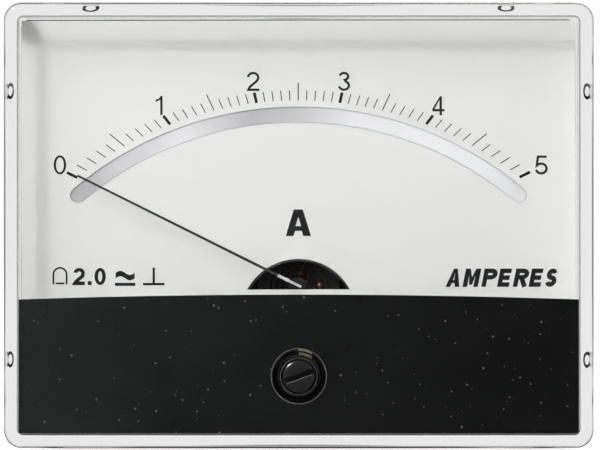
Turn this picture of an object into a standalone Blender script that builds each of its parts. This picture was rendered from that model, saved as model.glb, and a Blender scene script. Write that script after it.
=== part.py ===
"""Analogue panel ammeter, 86 x 65 mm front, with a moving-coil movement.

Frame: +X right, +Z up, the front faces -Y. The origin is the middle of the face, in the plane of
the panel that the flange seats on. Sizes below are in millimetres and become metres in mm().
"""
import math

import bmesh
import bpy
from mathutils import Vector

MM = 0.001
GAP = 0.3

# front cover
FACE_W, FACE_H, FACE_R = 86.0, 65.0, 2.6
FRONT_Y, COVER_REAR_Y = -14.0, -0.3
COVER_WALL, COVER_FRONT = 1.9, 1.8
COVER_INNER_Y = FRONT_Y + COVER_FRONT
CAVITY_W, CAVITY_H = FACE_W - 2 * COVER_WALL, FACE_H - 2 * COVER_WALL

# pivot of the movement and centre of the zero adjuster
PIVOT_Z = -9.13
ADJUSTER_Z = -22.0
ADJUSTER_R, ECCENTRIC, PIN_R = 2.35, 1.2, 0.6
BOSS_R, BOSS_REAR_Y = 3.7, -8.6

# mask, dial and scale
MASK_TOP, MASK_RISE = -10.8, 0.7
DIAL_FRONT_Y, DIAL_T = -4.6, 0.8
SCALE_Z, SCALE_R, SCALE_SPAN = -33.9, 50.15, 40.1
MIRROR_BAND, MIRROR_LAND_GAP, MIRROR_T = 2.3, 0.06, 0.5
DIAL_SCREW_X, DIAL_SCREW_Z = 33.0, -13.2

# case
FLANGE_W, FLANGE_H, FLANGE_Y = 81.4, 60.4, -2.6
BARREL_R, BARREL_WALL, BARREL_REAR_Y = 30.0, 2.0, 30.0
FLOOR_FRONT_Y, FLOOR_REAR_Y = 27.6, 29.6
STUD_X, STUD_Z = 36.0, 25.0
TERMINAL_X, TERMINAL_Z = 13.0, 13.0

# movement
POST_X, POST_Z = 14.5, -12.6
CORE_R, CORE_Y0, CORE_Y1 = 6.0, 4.6, 14.6
YOKE_IN, YOKE_OUT, YOKE_Y0, YOKE_Y1 = 8.6, 12.0, 5.5, 13.7
COIL_IN, COIL_OUT, COIL_Y0, COIL_Y1 = 6.6, 7.9, 3.0, 16.4
JEWEL_R, SCREW_HOLE_R = 1.0, 1.25
POINTER_REST = 63.5
POINTER_TIP, POINTER_ASIDE, POINTER_Y, POINTER_T = 36.3, 0.28, -6.8, 0.4
WEIGHT_R = 3.6
WEIGHT_Y0, WEIGHT_Y1 = 0.05, 1.05
CROSS_Y, CROSS_T = 1.35, 0.5
SPRING_INNER, SPRING_TURNS = 1.1, 4


for old in list(bpy.data.objects):
    bpy.data.objects.remove(old, do_unlink=True)
METER = bpy.data.collections.new("panel_ammeter")
CUTTERS = bpy.data.collections.new("cutters")
for group in (METER, CUTTERS):
    bpy.context.scene.collection.children.link(group)
CUTTERS.hide_render = True


def material(name, colour, roughness, metallic=0.0, alpha=1.0):
    """A plain Principled material."""
    made = bpy.data.materials.new(name)
    made.use_nodes = True
    shader = made.node_tree.nodes["Principled BSDF"]
    shader.inputs["Base Color"].default_value = (*colour, 1.0)
    shader.inputs["Roughness"].default_value = roughness
    shader.inputs["Metallic"].default_value = metallic
    shader.inputs["Alpha"].default_value = alpha
    return made


CLEAR = ("clear_acrylic", (0.93, 0.94, 0.93), 0.05, 0.0, 0.25)
MASK_BLACK = ("mask_black", (0.012, 0.012, 0.013), 0.45)
CASE_BLACK = ("case_black", (0.02, 0.02, 0.021), 0.4)
DIAL_WHITE = ("dial_white", (0.76, 0.77, 0.75), 0.5)
MIRROR = ("mirror", (0.9, 0.9, 0.92), 0.05, 1.0)
BLACKENED = ("blackened_brass", (0.03, 0.03, 0.03), 0.4, 0.6)
BRASS = ("brass", (0.62, 0.45, 0.2), 0.3, 1.0)
STEEL = ("plated_steel", (0.62, 0.62, 0.6), 0.3, 1.0)
IRON = ("soft_iron", (0.35, 0.35, 0.36), 0.45, 1.0)
MAGNET = ("magnet", (0.12, 0.12, 0.13), 0.5, 0.6)
ALUMINIUM = ("aluminium", (0.8, 0.8, 0.81), 0.35, 1.0)
COPPER = ("copper_wire", (0.6, 0.2, 0.08), 0.3, 1.0)
BRONZE = ("spring_bronze", (0.7, 0.42, 0.2), 0.3, 1.0)
POINTER_BLACK = ("pointer_black", (0.015, 0.015, 0.015), 0.5)
IVORY = ("ivory_nylon", (0.78, 0.72, 0.55), 0.4)
SLEEVE = ("wire_sleeve", (0.5, 0.03, 0.03), 0.5)


# ---- shaping -------------------------------------------------------------------------------

def place(obj, finish, collection=METER):
    """Links an object to a collection and gives it its own material."""
    if obj.name not in collection.objects:
        collection.objects.link(obj)
    if finish:
        obj.data.materials.clear()
        obj.data.materials.append(material(obj.name + "_" + finish[0], *finish[1:]))
    return obj


def circle(radius, x=0.0, z=0.0, count=24, start=0.0):
    """The points of a circle, or of a regular polygon of that circumradius."""
    turns = [start + 2 * math.pi * i / count for i in range(count)]
    return [(x + radius * math.cos(t), z + radius * math.sin(t)) for t in turns]


def arc(radius, x, z, first, last, count):
    """Points along an arc. Angles are in degrees clockwise from straight up."""
    angles = [math.radians(first + (last - first) * i / count) for i in range(count + 1)]
    return [(x + radius * math.sin(t), z + radius * math.cos(t)) for t in angles]


def round_box(width, height, radius, x=0.0, z=0.0, steps=4):
    """A rectangle with round corners."""
    w, h = width / 2 - radius, height / 2 - radius
    corners = ((w, h, 0), (w, -h, 90), (-w, -h, 180), (-w, h, 270))
    return [p for cx, cz, a in corners for p in arc(radius, x + cx, z + cz, a, a + 90, steps)]


def arc_band(radius, width, span, z, count=28, cap=6):
    """A curved slot of constant width with round ends, symmetric about straight up."""
    outer = arc(radius + width / 2, 0, z, -span, span, count)
    inner = arc(radius - width / 2, 0, z, span, -span, count)
    ends = []
    for side in (1, -1):
        cx = radius * math.sin(math.radians(side * span))
        cz = z + radius * math.cos(math.radians(span))
        turn = span if side > 0 else 180 - span
        ends.append(arc(width / 2, cx, cz, turn, turn + 180, cap)[1:-1])
    return outer + ends[0] + inner + ends[1]


def flat(name, loops, front_y, thickness, finish=None, collection=METER):
    """A flat piece: outlines in X and Z, inner ones as holes, extruded back from front_y."""
    curve = bpy.data.curves.new(name, "CURVE")
    curve.dimensions = "2D"
    curve.fill_mode = "BOTH"
    curve.extrude = thickness / 2 * MM
    for loop in loops:
        spline = curve.splines.new("POLY")
        spline.points.add(len(loop) - 1)
        for point, (x, z) in zip(spline.points, loop):
            point.co = (x * MM, z * MM, 0, 1)
        spline.use_cyclic_u = True
    obj = bpy.data.objects.new(name, curve)
    obj.location = (0, (front_y + thickness / 2) * MM, 0)
    obj.rotation_euler = (math.radians(90), 0, 0)
    return place(obj, finish, collection)


def solid_from(obj):
    """Turns a curve object into a mesh object with welded caps, so that it can be cut."""
    bpy.context.view_layer.update()
    graph = bpy.context.evaluated_depsgraph_get()
    mesh = bpy.data.meshes.new_from_object(obj.evaluated_get(graph))
    work = bmesh.new()
    work.from_mesh(mesh)
    bmesh.ops.remove_doubles(work, verts=work.verts, dist=1e-6)
    bmesh.ops.recalc_face_normals(work, faces=work.faces)
    work.to_mesh(mesh)
    work.free()
    made = bpy.data.objects.new(obj.name + "_solid", mesh)
    made.matrix_world = obj.matrix_world.copy()
    for owner in obj.users_collection:
        owner.objects.link(made)
    name = obj.name
    bpy.data.objects.remove(obj, do_unlink=True)
    made.name = name
    return made


def turned(name, profile, x, z, finish=None, steps=24, collection=METER):
    """A piece turned about a line along Y. The profile lists (radius, y) from front to back."""
    mesh = bpy.data.meshes.new(name)
    points = [(r * MM, 0, -y * MM) for r, y in profile]
    ring = profile[0][0] > 0
    edges = [(i, i + 1) for i in range(len(points) - 1)]
    if ring:
        edges.append((len(points) - 1, 0))
    mesh.from_pydata(points, edges, [])
    obj = bpy.data.objects.new(name, mesh)
    obj.location = (x * MM, 0, z * MM)
    obj.rotation_euler = (math.radians(90), 0, 0)
    screw = obj.modifiers.new("turn", "SCREW")
    screw.steps = screw.render_steps = steps
    screw.use_merge_vertices = True
    screw.merge_threshold = 1e-6
    screw.use_smooth_shade = True
    return place(obj, finish, collection)


def rod(name, radius, y0, y1, x, z, finish=None, steps=16, collection=METER):
    """A plain round rod along Y."""
    return turned(name, [(0, y0), (radius, y0), (radius, y1), (0, y1)], x, z, finish, steps,
                  collection)


def tube(name, outer, inner, y0, y1, x, z, finish=None, steps=20, collection=METER):
    """A plain round tube along Y."""
    profile = [(inner, y0), (outer, y0), (outer, y1), (inner, y1)]
    return turned(name, profile, x, z, finish, steps, collection)


def boolean(obj, other, operation="DIFFERENCE"):
    """Adds a Boolean with a hidden helper."""
    other.hide_render = True
    other.display_type = "WIRE"
    modifier = obj.modifiers.new(operation.lower(), "BOOLEAN")
    modifier.operation = operation
    modifier.object = other


def join(obj, other):
    boolean(obj, other, "UNION")


def helper_rod(name, radius, y0, y1, x, z, steps=20):
    return rod(name, radius, y0, y1, x, z, None, steps, CUTTERS)


def helper_flat(name, loops, front_y, thickness):
    return solid_from(flat(name, loops, front_y, thickness, None, CUTTERS))


def slot_cutter(name, x, z, y0, depth, length, width, turn):
    """A box that cuts a screwdriver slot in a head at y0. turn is in degrees from level."""
    half = Vector((length / 2, width / 2))
    box = [(-half.x, -half.y), (half.x, -half.y), (half.x, half.y), (-half.x, half.y)]
    c, s = math.cos(math.radians(turn)), math.sin(math.radians(turn))
    loop = [(x + u * c - v * s, z + u * s + v * c) for u, v in box]
    return helper_flat(name, [loop], y0 - 0.5, depth + 0.5)


def joint_empty(name, x, y, z):
    """An empty on a joint's axis, which its body's pieces are parented to."""
    empty = bpy.data.objects.new(name, None)
    empty.location = (x * MM, y * MM, z * MM)
    METER.objects.link(empty)
    return empty


def hang(obj, empty):
    """Parents a piece to its body's empty without moving it."""
    bpy.context.view_layer.update()
    obj.parent = empty
    obj.matrix_parent_inverse = empty.matrix_world.inverted()


# ---- housing -------------------------------------------------------------------------------

def front_cover():
    """Clear tray moulding: face, four walls and the boss that the adjuster turns in."""
    block = flat("front_cover", [round_box(FACE_W, FACE_H, FACE_R, steps=5)], FRONT_Y,
                 COVER_REAR_Y - FRONT_Y)
    cover = place(solid_from(block), CLEAR)
    bevel = cover.modifiers.new("edge", "BEVEL")
    bevel.width, bevel.segments, bevel.angle_limit = 0.5 * MM, 2, math.radians(60)
    cavity = round_box(CAVITY_W, CAVITY_H, 0.6, steps=2)
    boss = circle(BOSS_R, 0, ADJUSTER_Z, 24)
    boolean(cover, helper_flat("cavity_rear", [cavity], BOSS_REAR_Y, 12.0))
    boolean(cover, helper_flat("cavity_front", [cavity, boss], COVER_INNER_Y,
                               BOSS_REAR_Y - COVER_INNER_Y + 0.1))
    boolean(cover, helper_rod("adjuster_bore", ADJUSTER_R + GAP, -16, 0, 0, ADJUSTER_Z, 24))


def mask_plate():
    """Black plate behind the lower part of the face, with a shallow arched top edge."""
    half, bottom, radius = 40.95, -30.4, 0.5
    rise = 2 * MASK_RISE
    top_r = (half ** 2 + MASK_RISE ** 2) / rise
    top_z = MASK_TOP + MASK_RISE - top_r
    span = math.degrees(math.asin(half / top_r))
    top = arc(top_r, 0, top_z, -span, span, 20)
    foot = arc(radius, half - radius, bottom + radius, 90, 180, 3)
    foot += arc(radius, radius - half, bottom + radius, 180, 270, 3)
    hole = circle(4.05, 0, ADJUSTER_Z, 32)
    flat("mask_plate", [top + foot, hole], COVER_INNER_Y + GAP, 1.0, MASK_BLACK)


def base_case():
    """Black case: flange, barrel, floor, dial bosses and the two posts that carry the movement."""
    outline = round_box(FLANGE_W, FLANGE_H, 1.2, steps=3)
    holes = [circle(BARREL_R - 0.9, count=48)]
    holes += [circle(1.8, x * STUD_X, z * STUD_Z, 12) for x in (-1, 1) for z in (-1, 1)]
    case = place(solid_from(flat("base_case", [outline] + holes, FLANGE_Y, -FLANGE_Y)), CASE_BLACK)
    inner = BARREL_R - BARREL_WALL
    join(case, tube("barrel", BARREL_R, inner, FLANGE_Y + 0.6, BARREL_REAR_Y, 0, 0, None, 48,
                    CUTTERS))
    join(case, helper_rod("floor", inner + 0.8, FLOOR_FRONT_Y, FLOOR_REAR_Y, 0, 0, 40))
    for side in (-1, 1):
        end = "left" if side < 0 else "right"
        join(case, helper_rod(f"post_{end}", 2.8, 21.2, 28.4, side * POST_X, POST_Z, 16))
        boolean(case, helper_rod(f"post_hole_{end}", SCREW_HOLE_R, 20, 27.4, side * POST_X,
                                 POST_Z, 12))
        boolean(case, helper_rod(f"terminal_hole_{end}", 2.3, 24, 34, side * TERMINAL_X,
                                 TERMINAL_Z, 16))
        join(case, helper_rod(f"dial_boss_low_{end}", 2.6, -3.5, -1.6, side * DIAL_SCREW_X,
                              DIAL_SCREW_Z, 16))
        boolean(case, helper_rod(f"dial_hole_{end}", 1.05, -5, -0.8, side * DIAL_SCREW_X,
                                 DIAL_SCREW_Z, 12))
        join(case, helper_rod(f"dial_boss_high_{end}", 2.0, -3.5, -1.6, side * 30.0, 26.4, 16))
        for row in (-1, 1):
            level = "upper" if row > 0 else "lower"
            recess = helper_rod(f"stud_recess_{level}_{end}", 2.9, -4, -1.0, side * STUD_X,
                                row * STUD_Z, 12)
            boolean(case, recess)


def mounting_hardware(side, row):
    """One corner: a headed stud held in the flange, with its washer and nut behind the panel."""
    where = ("upper" if row > 0 else "lower") + "_" + ("right" if side > 0 else "left")
    x, z = side * STUD_X, row * STUD_Z
    turned(f"mounting_stud_{where}", [(0, -2.4), (2.5, -2.4), (2.5, -1.3), (1.5, -1.3),
                                      (1.5, 11.6), (1.2, 12), (0, 12)], x, z, STEEL, 12)
    tube(f"mounting_washer_{where}", 3.5, 1.8, 2.3, 2.8, x, z, STEEL, 16)
    flat(f"mounting_nut_{where}", [circle(3.18, x, z, 6), circle(1.8, x, z, 12)], 3.1, 2.4, STEEL)


def terminal_hardware(side):
    """One terminal: a headed stud through the floor with a base nut, a washer and a wire nut."""
    end = "right" if side > 0 else "left"
    x, z = side * TERMINAL_X, TERMINAL_Z
    turned(f"terminal_stud_{end}", [(0, 23.4), (3.6, 23.4), (3.6, 26.2), (2.0, 26.2),
                                    (2.0, 42.6), (1.6, 43), (0, 43)], x, z, BRASS, 16)
    hexagon = circle(4.04, x, z, 6)
    bore = circle(2.3, x, z, 16)
    flat(f"terminal_base_nut_{end}", [hexagon, bore], BARREL_REAR_Y, 2.4, BRASS)
    tube(f"terminal_washer_{end}", 4.5, 2.3, 34.2, 35.0, x, z, STEEL, 20)
    flat(f"terminal_wire_nut_{end}", [hexagon, bore], 35.3, 3.2, BRASS)


def shunt_strip():
    """Resistance strip that carries the current from one terminal to the other."""
    outline = round_box(2 * TERMINAL_X + 8, 8.0, 1.5, 0, TERMINAL_Z, 3)
    holes = [circle(2.3, x * TERMINAL_X, TERMINAL_Z, 16) for x in (-1, 1)]
    waist = round_box(14, 2.4, 0.6, 0, TERMINAL_Z, 2)
    flat("shunt_strip", [outline, waist] + holes, 26.5, 0.8, BRONZE)


# ---- dial ----------------------------------------------------------------------------------

def dial_plate():
    """Painted aluminium plate with a slot for the mirror and a window over the movement."""
    top, bottom, foot, edge = 30.0, -10.5, -15.6, 40.6
    outline = [(-edge, top), (edge, top), (edge, foot), (26, foot), (26, bottom),
               (-26, bottom), (-26, foot), (-edge, foot)]
    window_r, window_base = 8.58, -9.4
    window_z = -4.9 - window_r
    span = math.degrees(math.acos((window_base - window_z) / window_r))
    window = arc(window_r, 0, window_z, -span, span, 16)
    slot = arc_band(SCALE_R, MIRROR_BAND, SCALE_SPAN, SCALE_Z)
    holes = [circle(1.35, x * DIAL_SCREW_X, DIAL_SCREW_Z, 12) for x in (-1, 1)]
    flat("dial_plate", [outline, window, slot] + holes, DIAL_FRONT_Y, DIAL_T, DIAL_WHITE)


def mirror_strip():
    """Silvered strip behind the dial, with a raised land that stands in the dial's slot."""
    back_y = DIAL_FRONT_Y + DIAL_T + GAP
    band = arc_band(SCALE_R, MIRROR_BAND + 1.6, SCALE_SPAN + 1.0, SCALE_Z)
    strip = place(solid_from(flat("mirror_strip", [band], back_y, MIRROR_T)), MIRROR)
    land = arc_band(SCALE_R, MIRROR_BAND - 2 * MIRROR_LAND_GAP, SCALE_SPAN, SCALE_Z)
    land_y = DIAL_FRONT_Y + 0.15
    join(strip, helper_flat("mirror_land", [land], land_y, back_y - land_y + MIRROR_T / 2))


def dial_screw(side):
    """Small round-head screw through the dial's foot, behind the mask."""
    end = "right" if side > 0 else "left"
    x = side * DIAL_SCREW_X
    head = turned(f"dial_screw_{end}", [(0, -6.0), (1.6, -5.8), (2.1, -4.9), (0.75, -4.9),
                                        (0.75, -1.2), (0, -1.2)], x, DIAL_SCREW_Z, STEEL, 14)
    boolean(head, slot_cutter(f"dial_slot_{end}", x, DIAL_SCREW_Z, -6.0, 0.5, 6, 0.5, 35 * side))


# ---- fixed part of the movement ------------------------------------------------------------

def bridge(name, y0, thickness, tongue, bore, finish):
    """A bar across the two posts with a tongue to the pivot, where the jewel screw stands."""
    low, high, half, r = POST_Z - 1.8, POST_Z + 1.8, POST_X + 2.4, tongue
    nose = arc(r, 0, PIVOT_Z, -90, 90, 8)
    outline = [(-half, low), (-half, high), (-r, high)] + nose + [(r, high), (half, high),
                                                                (half, low)]
    holes = [circle(bore, 0, PIVOT_Z, 12)]
    holes += [circle(SCREW_HOLE_R, x * POST_X, POST_Z, 12) for x in (-1, 1)]
    flat(name, [outline] + holes, y0, thickness, finish)


def yoke_ring():
    """Soft iron return ring with an ear on each side for the clamping screws."""
    reach = POST_X + 2.2
    ear = [(-reach, POST_Z - 2.2), (reach, POST_Z - 2.2), (reach, POST_Z + 2.2),
           (-reach, POST_Z + 2.2)]
    ring = place(solid_from(flat("yoke_ring", [circle(YOKE_OUT, 0, PIVOT_Z, 40)], YOKE_Y0,
                                 YOKE_Y1 - YOKE_Y0)), IRON)
    join(ring, helper_flat("yoke_ears", [ear], YOKE_Y0 + 0.8, YOKE_Y1 - YOKE_Y0 - 1.6))
    boolean(ring, helper_rod("yoke_bore", YOKE_IN, 3, 18, 0, PIVOT_Z, 40))
    for side in (-1, 1):
        boolean(ring, helper_rod(f"yoke_hole_{side + 1}", SCREW_HOLE_R, 3, 18, side * POST_X,
                                 POST_Z, 12))


def core_spacer(row):
    """Brass key that holds the core in the ring, in the sector that the coil never reaches."""
    where = "upper" if row > 0 else "lower"
    turn, inner, outer = 9.0, CORE_R + GAP, YOKE_IN - GAP
    mid = 0 if row > 0 else 180
    outline = arc(outer, 0, PIVOT_Z, mid - turn, mid + turn, 4)
    outline += arc(inner, 0, PIVOT_Z, mid + turn, mid - turn, 4)
    flat(f"core_spacer_{where}", [outline], YOKE_Y0 + 0.6, YOKE_Y1 - YOKE_Y0 - 1.2, BRASS)


def clamping(side):
    """Spacers in front of and behind the yoke, and the long screw through the whole stack."""
    end = "right" if side > 0 else "left"
    x = side * POST_X
    tube(f"front_spacer_{end}", 1.95, SCREW_HOLE_R, -0.3, YOKE_Y0 + 0.5, x, POST_Z, BRASS, 14)
    tube(f"rear_spacer_{end}", 1.95, SCREW_HOLE_R, YOKE_Y1 - 0.5, 18.8, x, POST_Z, BRASS, 14)
    screw = turned(f"movement_screw_{end}", [(0, -3.3), (1.6, -3.3), (1.9, -3.0), (1.9, -2.1),
                                            (0.95, -2.1), (0.95, 26.8), (0, 26.8)], x, POST_Z,
                   STEEL, 14)
    boolean(screw, slot_cutter(f"screw_slot_{end}", x, POST_Z, -3.3, 0.5, 6, 0.5, 20 - 60 * side))


def jewel_screws():
    """Bearing screws that hold the jewels, and the nut that locks each one."""
    front = turned("front_jewel_screw", [(0, -3.5), (1.25, -3.5), (1.25, -2.9), (0.7, -2.9),
                                         (0.7, 0.9), (0, 0.9)], 0, PIVOT_Z, BLACKENED, 14)
    boolean(front, slot_cutter("front_jewel_slot", 0, PIVOT_Z, -3.5, 0.3, 4, 0.35, 25))
    flat("front_lock_nut", [circle(1.45, 0, PIVOT_Z, 6), circle(JEWEL_R, 0, PIVOT_Z, 12)], -0.3,
         0.7, BRASS)
    rear = turned("rear_jewel_screw", [(0, 18.5), (0.9, 18.5), (0.9, 22.4), (0, 22.4)], 0,
                  PIVOT_Z, BRASS, 14)
    boolean(rear, slot_cutter("rear_jewel_slot", 0, PIVOT_Z, 22.1, 0.8, 4, 0.35, 0))
    flat("rear_lock_nut", [circle(2.4, 0, PIVOT_Z, 6), circle(1.2, 0, PIVOT_Z, 12)], 20.8, 1.0,
         BRASS)


def spiral(name, y, height, outer, end_angle, width=0.25):
    """A hairspring: a flat strip wound in a spiral, ending at end_angle clockwise from up."""
    count = SPRING_TURNS * 16
    left, right = [], []
    for i in range(count + 1):
        share = i / count
        angle = math.radians(end_angle - (1 - share) * SPRING_TURNS * 360)
        radius = SPRING_INNER + (outer - SPRING_INNER) * share
        for side, r in ((left, radius - width / 2), (right, radius + width / 2)):
            side.append((r * math.sin(angle), PIVOT_Z + r * math.cos(angle)))
    return flat(name, [left + right[::-1]], y, height, BRONZE)


def rear_abutment():
    """Tab under the rear bridge's nut side that takes the outer end of the rear hairspring."""
    outline = round_box(2.2, 3.4, 0.5, 0, PIVOT_Z - 6.9, 2)
    flat("rear_abutment", [outline], 17.0, 1.8, BRASS)


def lead_wire(side):
    """Sleeved wire from the movement to its terminal stud, round the outside of the yoke."""
    end = "right" if side > 0 else "left"
    route = [Vector(p) for p in ((side * 17.6, 16.6, -12.6), (side * 20.5, 17.5, -9.0),
                                 (side * 22.0, 20.0, -2.0), (side * 20.5, 22.6, 6.0),
                                 (side * 17.4, 24.4, 11.4))]
    points = []
    for i in range(len(route) - 1):
        a = route[max(i - 1, 0)]
        b, c = route[i], route[i + 1]
        d = route[min(i + 2, len(route) - 1)]
        for k in range(5):
            t = k / 5
            points.append(0.5 * (2 * b + (c - a) * t + (2 * a - 5 * b + 4 * c - d) * t * t
                                 + (3 * b - a - 3 * c + d) * t ** 3))
    points.append(route[-1])
    curve = bpy.data.curves.new(f"lead_wire_{end}", "CURVE")
    curve.dimensions = "3D"
    curve.bevel_depth, curve.bevel_resolution, curve.use_fill_caps = 0.45 * MM, 2, True
    spline = curve.splines.new("POLY")
    spline.points.add(len(points) - 1)
    for point, place_mm in zip(spline.points, points):
        point.co = (*(place_mm * MM), 1)
    place(bpy.data.objects.new(f"lead_wire_{end}", curve), SLEEVE)


# ---- moving pieces -------------------------------------------------------------------------

def zero_adjuster(empty):
    """Screw in the face. An eccentric pin on its back moves the zero lever."""
    screw = turned("zero_adjuster", [(0, -13.9), (2.15, -13.9), (2.35, -13.7), (2.35, -8.3),
                                     (3.1, -8.3), (3.1, -7.2), (0, -7.2)], 0, ADJUSTER_Z,
                   BLACKENED, 24)
    join(screw, helper_rod("eccentric_pin", PIN_R, -7.6, -2.0, 0, ADJUSTER_Z + ECCENTRIC, 12))
    boolean(screw, slot_cutter("adjuster_slot", 0, ADJUSTER_Z, -13.9, 1.0, 8, 0.8, 20))
    hang(screw, empty)


def zero_lever(empty):
    """Lever round the front jewel screw, forked over the pin, with an arm for the hairspring."""
    slot, arm, tip = PIN_R + GAP, 1.9, -23.0
    ring = arc(1.4, 0, PIVOT_Z, -150, 150, 14)
    fork = [(1.05, -12.6), (arm, -18.2), (arm, tip), (slot, tip), (slot, -19.6), (-slot, -19.6),
            (-slot, tip), (-arm, tip), (-arm, -18.2), (-1.05, -12.6)]
    bore = circle(JEWEL_R, 0, PIVOT_Z, 14)
    lever = place(solid_from(flat("zero_lever", [ring + fork, bore], -2.6, 0.5)), IVORY)
    bar = [(0.3, -11.7), (5.75, -10.6), (5.75, -9.2), (4.95, -9.2), (4.95, -10.1), (0.3, -10.8)]
    join(lever, helper_flat("abutment_bar", [bar], -2.58, 0.46))
    join(lever, helper_flat("abutment_pin", [round_box(0.7, 0.9, 0.15, 5.35, -9.8, 2)], -2.4, 4.9))
    hang(lever, empty)


def arm_outline(angle, parts, aside=0.0):
    """A tapered arm outline: (distance, half width) pairs along a direction clockwise from up."""
    t = math.radians(angle)
    along, across = Vector((math.sin(t), math.cos(t))), Vector((math.cos(t), -math.sin(t)))
    root = Vector((0, PIVOT_Z)) + across * aside
    right = [root + along * d + across * w for d, w in parts]
    left = [root + along * d - across * w for d, w in reversed(parts)]
    return [(p.x, p.y) for p in right + left]


def moving_coil(empty):
    """Former, winding, staffs, balance cross, weights and pointer, all turning together."""
    rest = -POINTER_REST
    across = rest + 90
    former = place(solid_from(coil_frame("coil_former", COIL_IN, COIL_IN + 0.35, COIL_Y0 + 0.9,
                                         COIL_Y1 - 0.9, 0.35, 1.6, across)), ALUMINIUM)
    winding = place(solid_from(coil_frame("coil_winding", COIL_IN + 0.65, COIL_OUT, COIL_Y0,
                                          COIL_Y1, 0.6, 1.3, across)), COPPER)
    staff_front = turned("front_pivot", [(0, 1.2), (0.35, 1.6), (0.35, COIL_Y0 - GAP),
                                         (0, COIL_Y0 - GAP)], 0, PIVOT_Z, STEEL, 12)
    staff_rear = turned("rear_pivot", [(0, COIL_Y1 + GAP), (0.35, COIL_Y1 + GAP), (0.35, 17.8),
                                       (0, 18.2)], 0, PIVOT_Z, STEEL, 12)
    pieces = [former, winding, staff_front, staff_rear]
    pieces += [balance_cross(rest), pointer(rest)]
    for name, angle, radius in (("tail_weight", rest + 180, 1.0),
                                ("side_weight_left", rest - 90, 0.7),
                                ("side_weight_right", rest + 90, 0.7)):
        t = math.radians(angle)
        x, z = WEIGHT_R * math.sin(t), PIVOT_Z + WEIGHT_R * math.cos(t)
        pieces.append(rod(name, radius, WEIGHT_Y0, WEIGHT_Y1, x, z, BRASS, 12))
    for piece in pieces:
        hang(piece, empty)


def coil_frame(name, inner, outer, y0, y1, end, height, across):
    """A rectangular loop round the core, lying across the pointer: inner and outer half widths."""
    curve = bpy.data.curves.new(name, "CURVE")
    curve.dimensions, curve.fill_mode = "2D", "BOTH"
    curve.extrude = height / 2 * MM
    middle = (y0 + y1) / 2
    for half, long in ((outer, (y1 - y0) / 2), (inner, (y1 - y0) / 2 - end)):
        loop = round_box(2 * half, 2 * long, 0.5, 0, 0, 2)
        spline = curve.splines.new("POLY")
        spline.points.add(len(loop) - 1)
        for point, (u, v) in zip(spline.points, loop):
            point.co = (u * MM, v * MM, 0, 1)
        spline.use_cyclic_u = True
    obj = bpy.data.objects.new(name, curve)
    obj.location = (0, middle * MM, PIVOT_Z * MM)
    obj.rotation_euler = (0, math.radians(across - 90), 0)
    METER.objects.link(obj)
    return obj


def balance_cross(rest):
    """Thin cross on the staff: a stub towards the pointer, a tail and two side arms."""
    hub = circle(1.0, 0, PIVOT_Z, 16)
    cross = place(solid_from(flat("balance_cross", [hub], CROSS_Y, CROSS_T)), ALUMINIUM)
    arms = ((rest, 2.5), (rest + 180, 4.5), (rest + 90, 4.2), (rest - 90, 4.2))
    for i, (angle, reach) in enumerate(arms):
        outline = arm_outline(angle, [(0.2, 0.25), (reach, 0.25)])
        join(cross, helper_flat(f"cross_arm_{i}", [outline], CROSS_Y + 0.02, CROSS_T - 0.04))
    boolean(cross, helper_rod("cross_bore", 0.65, 0.5, 3, 0, PIVOT_Z, 12))
    return cross


def pointer(rest):
    """Knife pointer: a riser through the dial's window, then a long thin blade over the dial."""
    outline = arm_outline(rest, [(-0.3, 0.17), (3.4, 0.2), (8.0, 0.2), (POINTER_TIP, 0.16)],
                          POINTER_ASIDE)
    blade = place(solid_from(flat("pointer", [outline], POINTER_Y, POINTER_T)), POINTER_BLACK)
    riser = arm_outline(rest, [(1.78, 0.25), (2.28, 0.25)], POINTER_ASIDE)
    riser_y = POINTER_Y + POINTER_T / 4
    join(blade, helper_flat("pointer_riser", [riser], riser_y, CROSS_Y - riser_y - 0.25))
    return blade


def build():
    front_cover()
    mask_plate()
    base_case()
    shunt_strip()
    dial_plate()
    mirror_strip()
    for side in (-1, 1):
        dial_screw(side)
        clamping(side)
        core_spacer(side)
        terminal_hardware(side)
        lead_wire(side)
        for row in (-1, 1):
            mounting_hardware(side, row)
    bridge("front_bridge", -1.8, 1.2, 1.5, JEWEL_R, BLACKENED)
    bridge("rear_bridge", 19.1, 1.4, 3.0, 1.2, BRASS)
    yoke_ring()
    rod("core_magnet", CORE_R, CORE_Y0, CORE_Y1, 0, PIVOT_Z, MAGNET, 32)
    jewel_screws()
    rear_abutment()
    adjuster_axis = joint_empty("adjuster_axis", 0, FRONT_Y, ADJUSTER_Z)
    lever_axis = joint_empty("lever_axis", 0, -2.35, PIVOT_Z)
    coil_axis = joint_empty("coil_axis", 0, 9.6, PIVOT_Z)
    zero_adjuster(adjuster_axis)
    zero_lever(lever_axis)
    moving_coil(coil_axis)
    hang(coil_axis, lever_axis)
    hang(spiral("front_hairspring", 2.15, 0.4, 4.5, 97), lever_axis)
    spiral("rear_hairspring", 17.1, 0.5, 5.0, 180)


build()
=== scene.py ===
"""Analogue panel ammeter: the looks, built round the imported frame.

Sizes are in millimetres and become metres with MM. The front faces -Y and +Z is up.
"""
import math

import bmesh
import bpy
from mathutils import Matrix, Vector


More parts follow.
